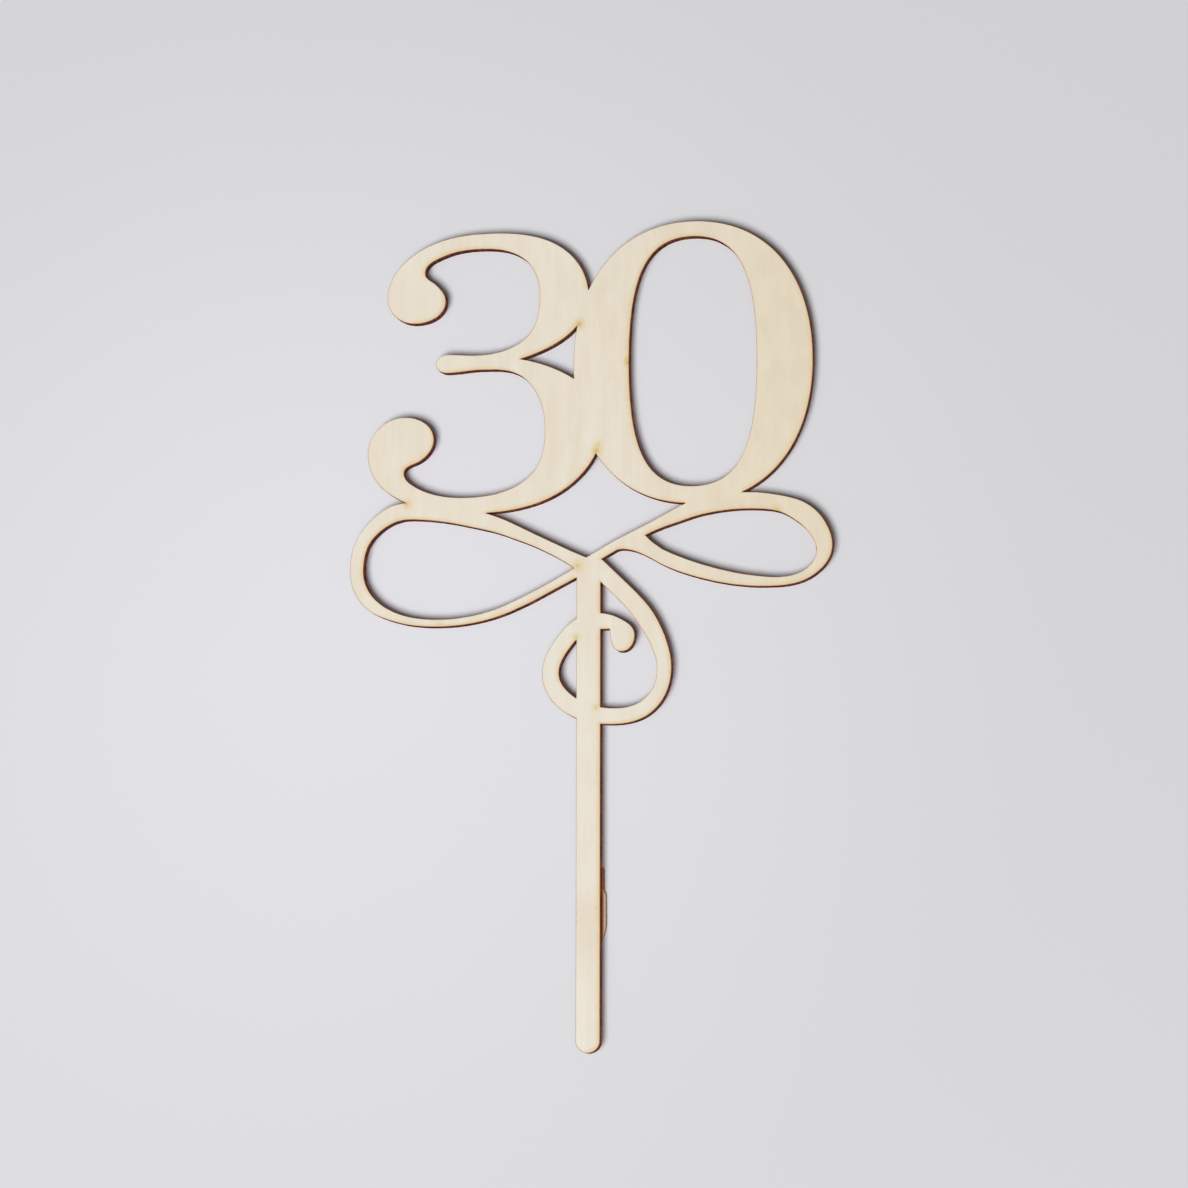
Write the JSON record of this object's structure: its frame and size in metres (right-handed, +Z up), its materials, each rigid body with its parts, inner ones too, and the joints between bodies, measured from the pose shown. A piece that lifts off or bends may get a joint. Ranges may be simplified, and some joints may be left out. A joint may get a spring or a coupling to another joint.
{
  "type": "cake topper",
  "caption": "Flat laser-cut plywood cake topper: a serif number over a looped flourish with a curled tail, on a round-ended pick that is pushed into the cake.",
  "frame": {"origin": "lowest point of the pick's round tip, in the middle of the sheet's thickness", "axes": "+Z up the pick towards the number, +X to the right as the number is read, -Y out of the front face"},
  "size_m": [0.1199, 0.003, 0.2041],
  "materials": {
    "face_veneer": "sanded, uncoated, grain upright, charred on the cut edge",
    "core_veneer": "sawn, grain crosswise, charred on the cut edge",
    "glue": "cured glue film, charred on the cut edge"
  },
  "bodies": {
    "root": {"front_veneer": "face_veneer", "front_glue_line": "glue", "core_veneer": "core_veneer", "back_glue_line": "glue", "back_veneer": "face_veneer"}
  },
  "joints": []
}
